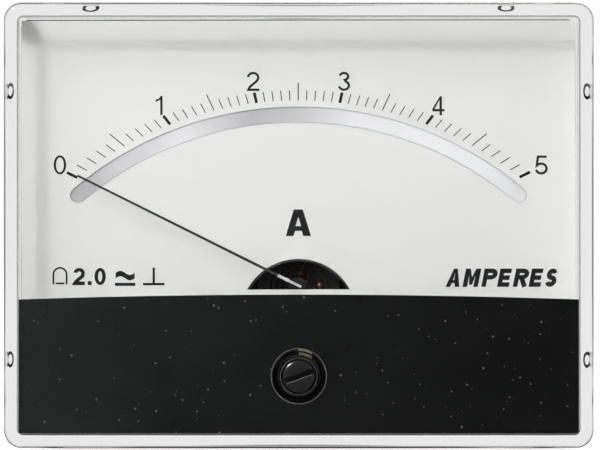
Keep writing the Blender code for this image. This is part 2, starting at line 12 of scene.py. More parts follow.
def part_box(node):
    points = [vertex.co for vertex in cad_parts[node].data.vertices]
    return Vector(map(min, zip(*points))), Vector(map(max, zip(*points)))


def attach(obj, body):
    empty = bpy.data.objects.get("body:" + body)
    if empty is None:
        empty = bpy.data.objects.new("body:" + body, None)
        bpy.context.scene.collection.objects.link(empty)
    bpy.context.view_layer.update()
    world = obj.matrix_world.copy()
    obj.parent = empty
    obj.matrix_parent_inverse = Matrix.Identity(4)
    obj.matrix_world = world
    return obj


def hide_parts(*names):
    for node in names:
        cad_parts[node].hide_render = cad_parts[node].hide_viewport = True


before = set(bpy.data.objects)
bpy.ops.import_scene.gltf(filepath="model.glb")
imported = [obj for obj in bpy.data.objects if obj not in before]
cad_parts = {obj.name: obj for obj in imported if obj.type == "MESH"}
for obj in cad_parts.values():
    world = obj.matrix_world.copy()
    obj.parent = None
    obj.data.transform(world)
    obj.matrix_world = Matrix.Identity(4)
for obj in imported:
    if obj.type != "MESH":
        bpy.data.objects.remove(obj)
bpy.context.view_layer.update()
MM = 0.001


# ---- studio: long lens square to the face, pale floor, one key lamp up and to the left ----
# The lamp's direction puts the soft line of the cover's edge on the dial.
face_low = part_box("front_cover")[0]
FACE_SPAN = 87.46 * MM
CAMERA_AWAY = 1.60
LENS_ASIDE, LENS_UP = 0.18, 0.06
camera = bpy.data.objects.new("camera", bpy.data.cameras.new("camera"))
camera.data.lens = camera.data.sensor_width * CAMERA_AWAY / FACE_SPAN
camera.location = (LENS_ASIDE * MM, face_low.y - CAMERA_AWAY, LENS_UP * MM)
camera.rotation_euler = (math.radians(90), 0, 0)
bpy.context.scene.collection.objects.link(camera)
bpy.context.scene.camera = camera
bpy.context.scene.view_settings.view_transform = "Standard"


def lamp(name, place, power, size):
    """A soft square lamp that points at the face."""
    light = bpy.data.objects.new(name, bpy.data.lights.new(name, "AREA"))
    light.data.energy, light.data.size = power, size
    light.location = place
    light.visible_camera = light.visible_transmission = False
    light.rotation_euler = (-Vector(place)).to_track_quat("-Z", "Y").to_euler()
    bpy.context.scene.collection.objects.link(light)


lamp("key", (-0.42, -0.84, 0.48), 5.6, 0.18)
lamp("fill", (0.75, -0.75, 0.15), 0.8, 0.6)
lamp("rim", (0.3, 0.7, 0.8), 5.0, 0.6)

FLOOR_HALF, FLOOR_GAP = 6.0, 0.3
floor_mesh = bpy.data.meshes.new("floor")
work = bmesh.new()
bmesh.ops.create_grid(work, x_segments=1, y_segments=1, size=FLOOR_HALF)
work.to_mesh(floor_mesh)
work.free()
floor = bpy.data.objects.new("floor", floor_mesh)
floor.location = (0, 0, face_low.z - FLOOR_GAP * MM)
floor.visible_glossy = floor.visible_transmission = False
bpy.context.scene.collection.objects.link(floor)

# The floor glows a little for the camera alone, so that it runs into the backdrop.
paper = bpy.data.materials.new("floor_paper")
paper.use_nodes = True
paper_shader = paper.node_tree.nodes["Principled BSDF"].inputs
paper_shader["Base Color"].default_value = (0.9, 0.9, 0.9, 1)
paper_shader["Roughness"].default_value = 0.9
paper_shader["Emission Color"].default_value = (0.75, 0.75, 0.75, 1)
floor_rays = paper.node_tree.nodes.new("ShaderNodeLightPath")
paper.node_tree.links.new(floor_rays.outputs["Is Camera Ray"], paper_shader["Emission Strength"])
floor_mesh.materials.append(paper)


def feed(tree, socket, value):
    """Links a socket to an input, or gives the input a plain value."""
    if hasattr(value, "is_linked"):
        tree.links.new(value, socket)
    else:
        socket.default_value = value


def add_node(tree, kind, inputs=None, **settings):
    """Adds a node with these settings. Each input takes a socket or a plain value."""
    node = tree.nodes.new(kind)
    for name, value in settings.items():
        setattr(node, name, value)
    for name, value in (inputs or {}).items():
        feed(tree, node.inputs[name], value)
    return node


def math_node(tree, operation, *values):
    """A Math node. Each value is a socket or a number."""
    return add_node(tree, "ShaderNodeMath", dict(enumerate(values)),
                    operation=operation).outputs[0]


def between(tree, value, low, high, at_low=0.0, at_high=1.0):
    """A value that runs from at_low to at_high as another one runs from low to high."""
    return add_node(tree, "ShaderNodeMapRange",
                    dict(enumerate((value, low, high, at_low, at_high)))).outputs[0]


def toned(tree, value, stops, tint=(1, 1, 1)):
    """A tinted grey that follows a value through a list of (position, tone) stops."""
    ramp = add_node(tree, "ShaderNodeValToRGB")
    band = ramp.color_ramp
    while len(band.elements) < len(stops):
        band.elements.new(0.5)
    for element, (position, tone) in zip(band.elements, stops):
        element.position, element.color = position, (*(tone * part for part in tint), 1)
    tree.links.new(value, ramp.inputs[0])
    return ramp.outputs[0]


# The room is dim in front, so that the clear face shows what is behind it, and light elsewhere.
# The camera itself sees a white backdrop.
ROOM_TONES = ((0.05, 0.012), (0.3, 0.38), (0.88, 0.38), (0.985, 0.88))
world = bpy.data.worlds.new("studio")
bpy.context.scene.world = world
world.use_nodes = True
world.cycles.sampling_method = "NONE"
sky = world.node_tree
way = add_node(sky, "ShaderNodeTexCoord").outputs["Generated"]
ways = add_node(sky, "ShaderNodeSeparateXYZ", {0: way}).outputs
front_to_back = math_node(sky, "MULTIPLY_ADD", ways["Y"], 0.5, 0.5)
dim_below = between(sky, ways["Z"], -0.45, -0.1, 0.25, 1.0)
room_light = math_node(sky, "MULTIPLY", toned(sky, front_to_back, ROOM_TONES), dim_below)
sky_rays = add_node(sky, "ShaderNodeLightPath")
backdrop = add_node(sky, "ShaderNodeMix", {0: sky_rays.outputs["Is Camera Ray"], 2: room_light,
                                           3: 1.0}, data_type="FLOAT")
background = sky.nodes["Background"].inputs
background["Color"].default_value = (1, 1, 1, 1)
sky.links.new(backdrop.outputs[0], background["Strength"])


# ---- front cover: one clear acrylic moulding, a face with four walls and a boss ----
# The boss takes the zero adjuster. The edge inside the face loses light, so the key lamp throws a
# soft line along it on the dial. Faint ejector dimples stand in the back of the rim.
def circle(radius, x=0.0, z=0.0, count=48, start=0.0):
    """The points of a circle, or of a regular polygon of that circumradius."""
    turns = [start + 2 * math.pi * i / count for i in range(count)]
    return [(x + radius * math.cos(t), z + radius * math.sin(t)) for t in turns]


def arc(radius, x, z, first, last, count):
    """Points along an arc. Angles are in degrees clockwise from straight up."""
    angles = [math.radians(first + (last - first) * i / count) for i in range(count + 1)]
    return [(x + radius * math.sin(t), z + radius * math.cos(t)) for t in angles]


def round_box(width, height, radius, x=0.0, z=0.0, steps=8):
    """A rectangle with round corners."""
    w, h = width / 2 - radius, height / 2 - radius
    corners = ((w, h, 0), (w, -h, 90), (-w, -h, 180), (-w, h, 270))
    return [p for cx, cz, a in corners for p in arc(radius, x + cx, z + cz, a, a + 90, steps)]


def mesh_of(obj, weld=1e-7):
    """The evaluated mesh of an object, put in place, with its doubles merged."""
    bpy.context.view_layer.update()
    graph = bpy.context.evaluated_depsgraph_get()
    mesh = bpy.data.meshes.new_from_object(obj.evaluated_get(graph))
    mesh.transform(obj.matrix_world)
    work = bmesh.new()
    work.from_mesh(mesh)
    bmesh.ops.remove_doubles(work, verts=work.verts, dist=weld)
    bmesh.ops.recalc_face_normals(work, faces=work.faces)
    work.to_mesh(mesh)
    work.free()
    return mesh


def finished(obj):
    """Applies an object's modifiers and its place, so that it sits at the origin."""
    mesh, name = mesh_of(obj), obj.name
    bpy.data.objects.remove(obj, do_unlink=True)
    done = bpy.data.objects.new(name, mesh)
    bpy.context.scene.collection.objects.link(done)
    return done


def plate(name, loops, front, back):
    """A flat piece between two depths. Its outlines are in X and Z, the inner ones holes."""
    curve = bpy.data.curves.new(name, "CURVE")
    curve.dimensions, curve.fill_mode = "2D", "BOTH"
    curve.extrude = (back - front) / 2 * MM
    for loop in loops:
        spline = curve.splines.new("POLY")
        spline.points.add(len(loop) - 1)
        for point, (x, z) in zip(spline.points, loop):
            point.co = (x * MM, z * MM, 0, 1)
        spline.use_cyclic_u = True
    obj = bpy.data.objects.new(name, curve)
    obj.location = (0, (front + back) / 2 * MM, 0)
    obj.rotation_euler = (math.radians(90), 0, 0)
    bpy.context.scene.collection.objects.link(obj)
    return finished(obj)


def cushion(name, width, height, radius, front, back, edge, steps=7):
    """A block with round corners whose front edge is rounded too."""
    turns = [math.pi / 2 * i / steps for i in range(steps + 1)]
    levels = [(edge * (1 - math.sin(t)), front + edge * (1 - math.cos(t))) for t in turns]
    mesh = bpy.data.meshes.new(name)
    work = bmesh.new()
    rings = []
    for inset, y in levels + [(0, back)]:
        loop = round_box(width - 2 * inset, height - 2 * inset, radius - inset, steps=10)
        rings.append([work.verts.new((x * MM, y * MM, z * MM)) for x, z in loop])
    for ring, after in zip(rings, rings[1:]):
        for i in range(len(ring)):
            work.faces.new((ring[i - 1], ring[i], after[i], after[i - 1]))
    work.faces.new(rings[0])
    work.faces.new(rings[-1])
    bmesh.ops.recalc_face_normals(work, faces=work.faces)
    work.to_mesh(mesh)
    work.free()
    obj = bpy.data.objects.new(name, mesh)
    bpy.context.scene.collection.objects.link(obj)
    return obj


def turned(name, profile, x, z, steps=48):
    """A piece turned about a line along Y. The profile lists (radius, y); a ring closes itself."""
    ring = profile[0][0] > 0
    mesh = bpy.data.meshes.new(name)
    work = bmesh.new()
    verts = [work.verts.new((r * MM, y * MM, 0)) for r, y in profile]
    edges = [work.edges.new(pair) for pair in zip(verts, verts[1:])]
    if ring:
        edges.append(work.edges.new((verts[-1], verts[0])))
    bmesh.ops.spin(work, geom=verts + edges, cent=(0, 0, 0), axis=(0, 1, 0), dvec=(0, 0, 0),
                   angle=2 * math.pi, steps=steps, use_merge=True)
    bmesh.ops.remove_doubles(work, verts=work.verts, dist=1e-7)
    bmesh.ops.recalc_face_normals(work, faces=work.faces)
    work.to_mesh(mesh)
    work.free()
    mesh.transform(Matrix.Translation((x * MM, 0, z * MM)))
    obj = bpy.data.objects.new(name, mesh)
    bpy.context.scene.collection.objects.link(obj)
    return obj


def cut(obj, other, operation="DIFFERENCE"):
    """Cuts one mesh from another, or joins them, and removes the second."""
    modifier = obj.modifiers.new("cut", "BOOLEAN")
    modifier.operation, modifier.object = operation, other
    done = finished(obj)
    bpy.data.objects.remove(other, do_unlink=True)
    return done


def smooth(obj, angle=35.0):
    """Shades a mesh smooth, but for the edges that turn more than the angle."""
    obj.data.shade_smooth()
    obj.data.set_sharp_from_angle(angle=math.radians(angle))


def handed_over(obj, material, body, node=None):
    """Gives a piece its one material, and tells the frame its body and its CAD node."""
    obj.data.materials.clear()
    obj.data.materials.append(material)
    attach(obj, body)
    if node:
        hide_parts(node)


def mix_colour(tree, factor, first, second, blend="MIX"):
    """Blends two colours, each a socket or a colour."""
    return add_node(tree, "ShaderNodeMix", {0: factor, 6: first, 7: second}, data_type="RGBA",
                    blend_type=blend).outputs[2]


def object_place(tree):
    """The place on the piece."""
    return add_node(tree, "ShaderNodeTexCoord").outputs["Object"]


def object_axes(tree):
    """The place on the piece, split into its X, Y and Z."""
    return add_node(tree, "ShaderNodeSeparateXYZ", {0: object_place(tree)}).outputs


def tree_group(name, inputs, outputs):
    """A shader node group with float inputs and outputs, and its two ends."""
    group = bpy.data.node_groups.new(name, "ShaderNodeTree")
    for label, value in inputs.items():
        socket = group.interface.new_socket(label, in_out="INPUT", socket_type="NodeSocketFloat")
        socket.default_value = value
    for label in outputs:
        group.interface.new_socket(label, in_out="OUTPUT", socket_type="NodeSocketFloat")
    return group, group.nodes.new("NodeGroupInput"), group.nodes.new("NodeGroupOutput")


def surface_grain():
    """Fine grain and slow tone over a surface, from its Object coordinates."""
    slowness, fine_share = 0.08, 0.4
    group, start, end = tree_group("surface_grain", {"Scale": 900.0}, ("Tone", "Height"))
    place, scale = object_place(group), start.outputs["Scale"]
    fine = add_node(group, "ShaderNodeTexNoise", {"Vector": place, "Scale": scale, "Detail": 3.0,
                                                  "Roughness": 0.6}).outputs[0]
    slow = add_node(group, "ShaderNodeTexNoise", {
        "Vector": place, "Scale": math_node(group, "MULTIPLY", scale, slowness),
        "Detail": 2.0}).outputs[0]
    mixed = math_node(group, "ADD", math_node(group, "MULTIPLY", fine, fine_share),
                      math_node(group, "MULTIPLY", slow, 1 - fine_share))
    group.links.new(mixed, end.inputs["Tone"])
    group.links.new(fine, end.inputs["Height"])
    return group


GRAIN = surface_grain()
RELIEF = 0.00002


def finish(name, colour, roughness, metallic=0.0, vary=0.1, scale=900.0, bump=0.15, spread=0.12,
           coat=0.0):
    """A finish with slight tone, roughness and surface variation."""
    made = bpy.data.materials.new(name)
    made.use_nodes = True
    tree = made.node_tree
    shader = tree.nodes["Principled BSDF"].inputs
    grain = add_node(tree, "ShaderNodeGroup", node_tree=GRAIN)
    grain.inputs["Scale"].default_value = scale
    dark = (*(part * (1 - vary) for part in colour), 1)
    light = (*(min(1, part * (1 + vary)) for part in colour), 1)
    tone = grain.outputs["Tone"]
    relief = add_node(tree, "ShaderNodeBump", {
        "Strength": bump, "Distance": RELIEF, "Height": grain.outputs["Height"]})
    tree.links.new(mix_colour(tree, tone, dark, light), shader["Base Color"])
    tree.links.new(between(tree, tone, 0.0, 1.0, max(0.02, roughness - spread),
                           min(1.0, roughness + spread)), shader["Roughness"])
    tree.links.new(relief.outputs[0], shader["Normal"])
    shader["Metallic"].default_value = metallic
    shader["Coat Weight"].default_value = coat
    return made


def repaint(made, paint):
    """Passes a finish's own colour through another step before it reaches the shader."""
    tree = made.node_tree
    colour = tree.nodes["Principled BSDF"].inputs["Base Color"]
    tree.links.new(paint(tree, colour.links[0].from_socket), colour)
    return made


def clear_acrylic(edge_y):
    """Clear plastic that lets the lamps through, less so at rounded edges behind a depth."""
    tilted, square, edge_light, face_light = 0.97, 0.995, 0.12, 0.99
    made = bpy.data.materials.new("clear_acrylic")
    made.use_nodes = True
    tree = made.node_tree
    shader = tree.nodes["Principled BSDF"]
    shader.inputs["Base Color"].default_value = (0.985, 0.99, 0.985, 1)
    shader.inputs["Roughness"].default_value = 0.0
    shader.inputs["IOR"].default_value = 1.49
    shader.inputs["Transmission Weight"].default_value = 1.0
    facing = add_node(tree, "ShaderNodeNewGeometry").outputs["True Normal"]
    x, y, z = (math_node(tree, "ABSOLUTE", axis)
               for axis in add_node(tree, "ShaderNodeSeparateXYZ", {0: facing}).outputs)
    squarest = math_node(tree, "MAXIMUM", math_node(tree, "MAXIMUM", x, y), z)
    outside = math_node(tree, "LESS_THAN", object_axes(tree)["Y"], edge_y * MM)
    passing = between(tree, math_node(tree, "MAXIMUM", squarest, outside), tilted, square,
                      edge_light, face_light)
    let_by = add_node(tree, "ShaderNodeBsdfTransparent", {"Color": passing})
    rays = add_node(tree, "ShaderNodeLightPath")
    mixer = add_node(tree, "ShaderNodeMixShader", {
        0: rays.outputs["Is Shadow Ray"], 1: shader.outputs[0], 2: let_by.outputs[0]})
    tree.links.new(mixer.outputs[0], tree.nodes["Material Output"].inputs["Surface"])
    return made


def limits(node):
    """A CAD node's lowest and highest corners in millimetres."""
    low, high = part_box(node)
    return low / MM, high / MM


cover_low, cover_high = limits("front_cover")
adjuster_low, adjuster_high = limits("zero_adjuster")
ADJUSTER_Z = (adjuster_low.z + adjuster_high.z) / 2
COVER_WALL, COVER_FRONT, COVER_CORNER, COVER_EDGE = 1.9, 1.8, 2.6, 0.6
HOLLOW_CORNER, HOLLOW_EDGE = 0.9, 0.55
BOSS_R, BORE_R, BOSS_REAR = 3.7, 2.65, -8.6
cover_w, cover_h = cover_high.x - cover_low.x, cover_high.z - cover_low.z
inner_face = cover_low.y + COVER_FRONT
cover = cushion("front_cover_moulding", cover_w, cover_h, COVER_CORNER, cover_low.y,
                cover_high.y, COVER_EDGE)
cover = cut(cover, cushion("hollow", cover_w - 2 * COVER_WALL, cover_h - 2 * COVER_WALL,
                           HOLLOW_CORNER, inner_face, 1.0, HOLLOW_EDGE))
boss = turned("boss", [(BORE_R - 0.5, inner_face - 0.6), (BOSS_R, inner_face - 0.6),
                       (BOSS_R, BOSS_REAR - 0.25), (BOSS_R - 0.25, BOSS_REAR),
                       (BORE_R - 0.5, BOSS_REAR)], 0, ADJUSTER_Z, 64)
cover = cut(cover, boss, "UNION")
bore = turned("bore", [(0, -20), (BORE_R + 5, -20), (BORE_R + 5, cover_low.y - 0.5),
                       (BORE_R + 0.75, cover_low.y - 0.5), (BORE_R, cover_low.y + 0.25),
                       (BORE_R, 0), (0, 0)], 0, ADJUSTER_Z, 64)
cover = cut(cover, bore)
DIMPLES = [(x, 31.6, 1.25, 0.5) for x in (-30.4, 30.4)]
DIMPLES += [(x, z, 0.5, 1.2) for x in (-42.05, 42.05) for z in (-19.6, 19.6)]
for x, z, half_w, half_h in DIMPLES:
    dimple = turned("dimple", [(0, -0.8), (0.6, -0.8), (1.0, -0.35), (1.0, 1.0), (0, 1.0)],
                    0, 0, 40)
    dimple.data.transform(Matrix.Translation((x * MM, 0, z * MM))
                          @ Matrix.Diagonal((half_w, 1, half_h, 1)))
    cover = cut(cover, dimple)
smooth(cover)
handed_over(cover, clear_acrylic(cover_low.y + 1.0), "case", "front_cover")


# ---- mask: a black moulded plate behind the lower part of the face ----
# Its face has fine grain, a little dust and painted shade. The CAD plate has its real shape.
def tones_along(tree, reach, stops, tint=(1, 1, 1)):
    """A colour that changes with the place along X, from -reach to reach."""
    along = between(tree, object_axes(tree)["X"], -reach, reach)
    return toned(tree, along, stops, tint)


# Painted shade along the plate, lightest on the left.
MASK_PAINTED_SHADE = ((0.0, 1.0), (0.25, 0.62), (0.5, 0.45), (1.0, 0.24))


def mask_paint(tree, base):
    """Paints shade from left to right over a colour and scatters a few pale specks over it."""
    half_width, speck_rim, speck_core, rarity = 0.042, 0.26, 0.18, 0.68
    pale = (0.16, 0.16, 0.16, 1)
    dust = add_node(tree, "ShaderNodeTexVoronoi", {"Vector": object_place(tree), "Scale": 1300.0})
    speck = between(tree, dust.outputs["Distance"], speck_rim, speck_core)
    rare = math_node(tree, "GREATER_THAN", dust.outputs["Color"], rarity)
    shade = mix_colour(tree, 1.0, base, tones_along(tree, half_width, MASK_PAINTED_SHADE), "MULTIPLY")
    return mix_colour(tree, math_node(tree, "MULTIPLY", speck, rare), shade, pale)


def dim_shine(made, level):
    """Weakens a finish's mirror-like shine."""
    made.node_tree.nodes["Principled BSDF"].inputs["Specular IOR Level"].default_value = level


def dress(node, made):
    """Gives every material slot of a CAD node one finish."""
    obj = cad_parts[node]
    if not obj.material_slots:
        obj.data.materials.append(made)
    for slot in obj.material_slots:
        slot.material = made


mask_black = repaint(finish("mask_black", (0.0178, 0.0186, 0.0188), 0.5, vary=0.6, scale=1600,
                            bump=0.5), mask_paint)
dim_shine(mask_black, 0.04)
dress("mask_plate", mask_black)

# Grey rings at the mask's hole for the adjuster and at the boss's bore are painted highlights.
painted_highlight = finish("edge_highlight_paint", (0.16, 0.16, 0.16), 0.4, vary=0.7, scale=700)
mask_low = limits("mask_plate")[0]
for name, inner, outer, front, back in (
        ("hole_edge_highlight", 3.98, 4.09, mask_low.y - 0.04, mask_low.y + 0.1),
        ("boss_rim_highlight", BORE_R + 0.03, BORE_R + 0.15, cover_low.y + 0.5, cover_low.y + 0.6)):
    ring = turned(name, [(inner, front), (outer, front), (outer, back), (inner, back)],
                  0, ADJUSTER_Z, 96)
    smooth(ring)
    handed_over(ring, painted_highlight, "case")


# ---- dial: aluminium plate with matte off-white paint, printed with a linear 0 to 5 scale ----
# Ticks point at the pivot and stand on a flatter arc. The ink is a thin raised layer.
PIVOT_Z = sum(limits("core_magnet")[i].z for i in (0, 1)) / 2
dial_low, dial_high = limits("dial_plate")
INK = 0.02
INK_FRONT, INK_BACK = dial_low.y - INK, dial_low.y
SCALE_Z, TICK_INNER = -33.9, 52.2
SWEEP, DIVISIONS = 127.0, 50

dress("dial_plate", finish("dial_paint", (0.775, 0.775, 0.762), 0.6, vary=0.012, scale=1200,
                           bump=0.08))
ink_black = finish("ink_black", (0.012, 0.012, 0.013), 0.55, vary=0.2, scale=1500)
ink_grey = finish("ink_fine", (0.03, 0.03, 0.03), 0.55, vary=0.2, scale=1500)
for ink in (ink_black, ink_grey):
    dim_shine(ink, 0.15)


def geometry_tree(name, inputs):
    """A Geometry Nodes tree with named float or material inputs, and its two ends."""
    tree = bpy.data.node_groups.new(name, "GeometryNodeTree")
    for label, kind in inputs.items():
        tree.interface.new_socket(label, in_out="INPUT", socket_type=kind)
    tree.interface.new_socket("Geometry", in_out="OUTPUT", socket_type="NodeSocketGeometry")
    return tree, tree.nodes.new("NodeGroupInput"), tree.nodes.new("NodeGroupOutput")


def ends_in(tree, end, made, material):
    """Ends a tree with real geometry in one material."""
    real = add_node(tree, "GeometryNodeRealizeInstances", {0: made})
    coloured = add_node(tree, "GeometryNodeSetMaterial", {
        "Geometry": real.outputs[0], "Material": material})
    tree.links.new(coloured.outputs[0], end.inputs[0])
    return tree


def grown(name, tree, values):
    """The mesh object that a Geometry Nodes tree makes with these values."""
    mesh = bpy.data.meshes.new(name)
    obj = bpy.data.objects.new(name, mesh)
    bpy.context.scene.collection.objects.link(obj)
    modifier = obj.modifiers.new("grow", "NODES")
    modifier.node_group = tree
    for item in tree.interface.items_tree:
        if item.in_out == "INPUT" and item.name in values:
            modifier[item.identifier] = values[item.name]
    return obj


FLOAT, INT, MATERIAL = "NodeSocketFloat", "NodeSocketInt", "NodeSocketMaterial"


def scale_ticks():
    """Ticks at equal angles about a pivot, between two arcs that share a lower centre."""
    tree, start, end = geometry_tree("scale_ticks", {
        "Count": INT, "First": FLOAT, "Step": FLOAT, "Pivot": FLOAT, "Centre": FLOAT,
        "Inner": FLOAT, "Outer": FLOAT, "Width": FLOAT, "Depth": FLOAT, "Thickness": FLOAT,
        "Ink": MATERIAL})
    value = start.outputs
    line = add_node(tree, "GeometryNodeMeshLine", {"Count": value["Count"]})
    index = add_node(tree, "GeometryNodeInputIndex").outputs[0]
    angle = math_node(tree, "ADD", math_node(tree, "MULTIPLY", index, value["Step"]),
                      value["First"])
    sine, cosine = math_node(tree, "SINE", angle), math_node(tree, "COSINE", angle)
    drop = math_node(tree, "SUBTRACT", value["Pivot"], value["Centre"])
    aside = math_node(tree, "POWER", math_node(tree, "MULTIPLY", drop, sine), 2.0)
    ahead = math_node(tree, "MULTIPLY", drop, cosine)
    reach = []
    for radius in ("Inner", "Outer"):
        square = math_node(tree, "MULTIPLY", value[radius], value[radius])
        root = math_node(tree, "SQRT", math_node(tree, "SUBTRACT", square, aside))
        reach.append(math_node(tree, "SUBTRACT", root, ahead))
    length = math_node(tree, "SUBTRACT", reach[1], reach[0])
    middle = math_node(tree, "MULTIPLY", math_node(tree, "ADD", reach[0], reach[1]), 0.5)
    spot = add_node(tree, "ShaderNodeCombineXYZ", {
        0: math_node(tree, "MULTIPLY", middle, sine), 1: value["Depth"],
        2: math_node(tree, "ADD", math_node(tree, "MULTIPLY", middle, cosine),
                     value["Pivot"])})
    placed = add_node(tree, "GeometryNodeSetPosition", {
        "Geometry": line.outputs[0], "Position": spot.outputs[0]})
    size = add_node(tree, "ShaderNodeCombineXYZ", {
        0: value["Width"], 1: value["Thickness"], 2: length})
    turn = add_node(tree, "ShaderNodeCombineXYZ", {1: angle})
    bar = add_node(tree, "GeometryNodeMeshCube")
    copies = add_node(tree, "GeometryNodeInstanceOnPoints", {
        "Points": placed.outputs[0], "Instance": bar.outputs[0], "Rotation": turn.outputs[0],
        "Scale": size.outputs[0]})
    return ends_in(tree, end, copies.outputs[0], value["Ink"])


# Each row holds a name, the count of ticks, the first division and the divisions between two
# ticks, the inner end's lift, the outer arc's radius, the width and the ink.
TICK_ROWS = (("ticks_fine", DIVISIONS + 1, 0, 1, 0.0, 53.7, 0.14, ink_grey),
             ("ticks_half", 5, 5, 10, 0.25, 54.8, 0.15, ink_grey),
             ("ticks_main", 6, 0, 10, 0.0, 53.75, 0.42, ink_black))
TICKS, DIVISION = scale_ticks(), SWEEP / DIVISIONS
for name, count, first, apart, lift, outer, width, ink in TICK_ROWS:
    ticks = finished(grown(name, TICKS, {
        "Count": count, "First": math.radians(first * DIVISION - SWEEP / 2),
        "Step": math.radians(apart * DIVISION), "Pivot": PIVOT_Z * MM, "Centre": SCALE_Z * MM,
        "Inner": (TICK_INNER + lift) * MM, "Outer": outer * MM, "Width": width * MM,
        "Depth": (INK_FRONT + INK_BACK) / 2 * MM, "Thickness": INK * MM, "Ink": ink}))
    handed_over(ticks, ink, "case")


def oval(x, z, wide, high, first, last, count=20):
    """Points along an ellipse. Angles are in degrees clockwise from straight up."""
    turns = [math.radians(first + (last - first) * i / count) for i in range(count + 1)]
    return [(x + wide * math.sin(t), z + high * math.cos(t)) for t in turns]


def stroke(path, width):
    """The outline of a line of even width along a path."""
    left, right = [], []
    for i, point in enumerate(path):
        here = Vector(point)
        after = (Vector(path[i + 1]) - here).normalized() if i + 1 < len(path) else None
        before = (here - Vector(path[i - 1])).normalized() if i else after
        after = after or before
        middle = (before + after).normalized()
        reach = width / 2 / max(0.4, middle.dot(before))
        across = Vector((-middle.y, middle.x)) * reach
        left.append(tuple(here + across))
        right.append(tuple(here - across))
    return left + right[::-1]


def glyph(sign, w):
    """The outlines of one printed sign, one unit high, with strokes of width w."""
    e, top, low = w / 2, 0.5 - w / 2, -0.5 + w / 2
    bowl = [(-0.24, top), (0.05, top)] + oval(0.05, (top + 0.02) / 2, 0.22, (top - 0.02) / 2,
                                              10, 170, 10) + [(0.05, 0.02), (-0.24 + e, 0.02)]
    shapes = {
        "0": [oval(0, 0, 0.33, 0.5, 0, 350, 35), oval(0, 0, 0.33 - w, 0.5 - w * 0.9, 0, 350, 35)],
        "1": [[(0.06, -0.5), (0.06 + w, -0.5), (0.06 + w, 0.5), (0.09, 0.5), (0.0, 0.37),
               (-0.18, 0.29), (-0.18, 0.29 - w), (0.06, 0.30)]],
        "2": [stroke(oval(0, 0.2, 0.33 - e, 0.3 - e, -85, 100, 16)
                     + [(0.19, 0.02), (0.0, -0.14), (-0.17, -0.28), (-0.25, low), (0.33, low)],
                     w)],
        "3": [stroke(oval(-0.01, 0.255, 0.28 - e, 0.245 - e, -80, 170, 16)
                     + oval(-0.01, -0.22, 0.32 - e, 0.28 - e, 25, 260, 18), w)],
        "4": [[(0.07, 0.5), (0.17, 0.5), (0.17, -0.17), (0.31, -0.17), (0.31, -0.17 - w),
               (0.17, -0.17 - w), (0.17, -0.5), (0.17 - w, -0.5), (0.17 - w, -0.17 - w),
               (-0.33, -0.17 - w), (-0.33, -0.16)],
              [(0.17 - w, -0.17), (0.17 - w, 0.31), (-0.22, -0.17)]],
        "5": [stroke([(0.28, top), (-0.18, top), (-0.24, -0.02)]
                     + oval(-0.01, -0.18, 0.34 - e, 0.32 - e, -35, 255, 22), w)],
        ".": [round_box(w * 1.1, w * 1.1, 0.01, 0, -0.5 + w * 0.55, 1)],
        "A": [[(-0.38, -0.5), (-0.1, 0.5), (0.1, 0.5), (0.38, -0.5), (0.38 - w, -0.5),
               (0.32 - w, -0.29), (w - 0.32, -0.29), (w - 0.38, -0.5)],
              [(w - 0.28, -0.13), (0.28 - w, -0.13), (0, 0.3)]],
        "M": [[(-0.42, -0.5), (-0.42, 0.5), (-0.4 + w, 0.5), (0, 0.02), (0.4 - w, 0.5),
               (0.42, 0.5), (0.42, -0.5), (0.42 - w, -0.5), (0.42 - w, 0.12), (0.08, -0.38),
               (-0.08, -0.38), (w - 0.42, 0.12), (w - 0.42, -0.5)]],
        "P": [stroke([(-0.24, -0.5)] + bowl, w)],
        "R": [stroke([(-0.24, -0.5)] + bowl, w), stroke([(0.02, 0.0), (0.28, -0.5)], w)],
        "E": [stroke([(0.27, top), (-0.24, top), (-0.24, low), (0.28, low)], w),
              round_box(0.4, w, 0.01, 0.03, 0.0, 1)],
        "S": [stroke(oval(0, top / 2, 0.28 - e, top / 2, 75, -170, 16)
                     + oval(0, low / 2, 0.3 - e, top / 2, 10, 255, 16), w)],
    }
    return shapes[sign]


def strip(name, loops, ink):
    """A flat printed shape."""
    handed_over(plate(name, loops, INK_FRONT, INK_BACK), ink, "case")


STEPS = {".": 0.42, "M": 1.25, "S": 0.84}


def lettering(name, text, x, z, height, weight=0.125, pitch=0.78, lean=0.0):
    """Printed signs in a row, centred on a point of the dial."""
    steps = [STEPS.get(sign, 1.0) for sign in text]
    along = -sum(steps) / 2
    for i, (sign, step) in enumerate(zip(text, steps)):
        centre = (along + step / 2) * pitch
        along += step
        loops = [[(x + (u + centre + v * lean) * height, z + v * height) for u, v in outline]
                 for outline in glyph(sign, weight)]
        # The strokes of R and E cross, so that each is a shape of its own.
        for k, shape in enumerate([[loop] for loop in loops] if sign in "RE" else [loops]):
            strip(f"{name}_{i}_{k}", shape, ink_black)


FIGURES = ((-34.95, 8.9), (-20.4, 17.6), (-6.6, 21.1), (6.75, 21.1), (20.6, 17.5), (35.6, 8.8))
for figure, (x, z) in enumerate(FIGURES):
    lettering(f"figure_{figure}", str(figure), x, z, 2.8)
lettering("class_figure", "2.0", -30.6, -7.45, 2.52, 0.21, 0.86)
lettering("unit_word", "AMPERES", 29.8, -7.7, 2.68, 0.25, 0.86, 0.2)



